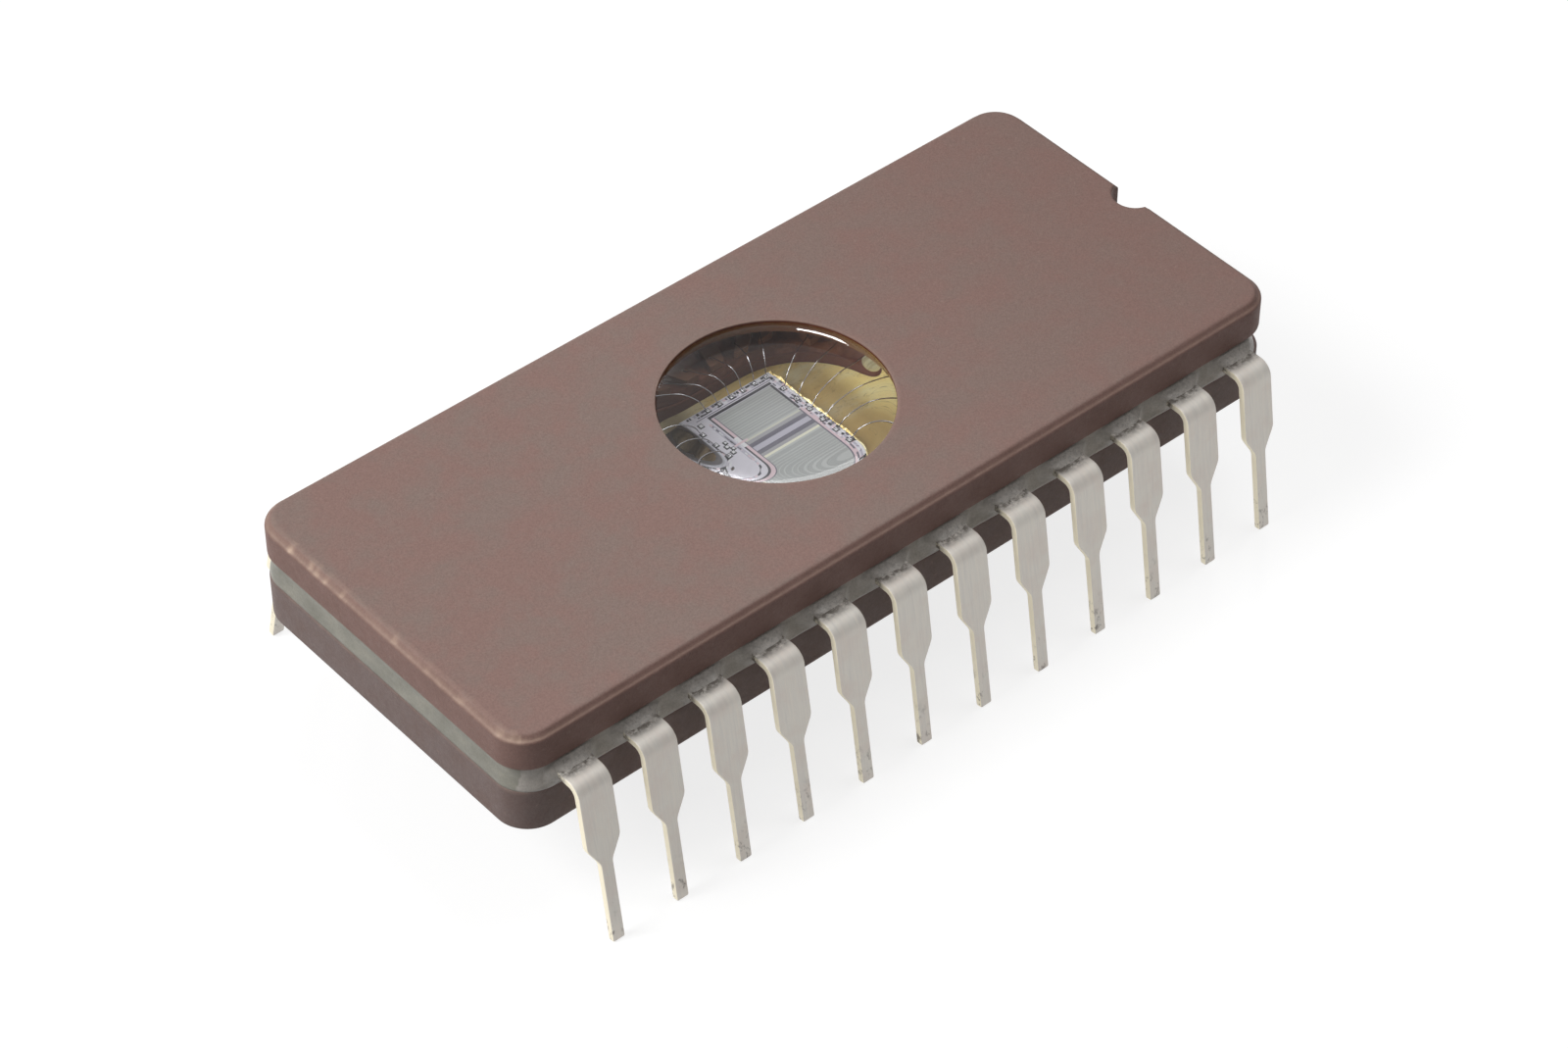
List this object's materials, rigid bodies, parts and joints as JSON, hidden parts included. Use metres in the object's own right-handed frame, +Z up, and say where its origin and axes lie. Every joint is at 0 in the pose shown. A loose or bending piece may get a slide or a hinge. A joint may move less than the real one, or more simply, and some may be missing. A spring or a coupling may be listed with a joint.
{
  "type": "windowed ceramic dual in-line memory chip",
  "caption": "Brown ceramic dual in-line memory chip with a round glass window over its die, splayed metal leads down both long sides and a half-round notch at one end.",
  "frame": {"origin": "middle of the footprint at the plane of the lead tips", "axes": "+X along the body towards the notch, +Y across the body, +Z up through the window"},
  "size_m": [0.0318, 0.0178, 0.008],
  "materials": {
    "dark_ceramic": "pressed dark brown alumina",
    "brown_ceramic": "pressed matt brown alumina, paler worn edges",
    "window_glass": "clear polished ultraviolet glass",
    "seal_glass": "grey green frit glass, wavy and slightly granular",
    "gold": "fired gold film",
    "silicon": "polished die with etched circuit",
    "lead_metal": "tin dipped iron nickel strip, brushed, tarnished tips",
    "wire_metal": "bright drawn wire"
  },
  "bodies": {
    "root": {"ceramic_base": "dark_ceramic", "ceramic_lid": "brown_ceramic", "window_lens": "window_glass", "seal_glass": "seal_glass", "gold_pad": "gold", "silicon_die": "silicon", "lead_01": "lead_metal", "lead_02": "lead_metal", "lead_03": "lead_metal", "lead_04": "lead_metal", "lead_05": "lead_metal", "lead_06": "lead_metal", "lead_07": "lead_metal", "lead_08": "lead_metal", "lead_09": "lead_metal", "lead_10": "lead_metal", "lead_11": "lead_metal", "lead_12": "lead_metal", "lead_13": "lead_metal", "lead_14": "lead_metal", "lead_15": "lead_metal", "lead_16": "lead_metal", "lead_17": "lead_metal", "lead_18": "lead_metal", "lead_19": "lead_metal", "lead_20": "lead_metal", "lead_21": "lead_metal", "lead_22": "lead_metal", "lead_23": "lead_metal", "lead_24": "lead_metal", "bond_wire_01": "wire_metal", "bond_wire_02": "wire_metal", "bond_wire_03": "wire_metal", "bond_wire_04": "wire_metal", "bond_wire_05": "wire_metal", "bond_wire_06": "wire_metal", "bond_wire_07": "wire_metal", "bond_wire_08": "wire_metal", "bond_wire_09": "wire_metal", "bond_wire_10": "wire_metal", "bond_wire_11": "wire_metal", "bond_wire_12": "wire_metal", "bond_wire_13": "wire_metal", "bond_wire_14": "wire_metal", "bond_wire_15": "wire_metal", "bond_wire_16": "wire_metal", "bond_wire_17": "wire_metal", "bond_wire_18": "wire_metal", "bond_wire_19": "wire_metal", "bond_wire_20": "wire_metal", "bond_wire_21": "wire_metal", "bond_wire_22": "wire_metal", "bond_wire_23": "wire_metal", "bond_wire_24": "wire_metal"}
  },
  "joints": []
}
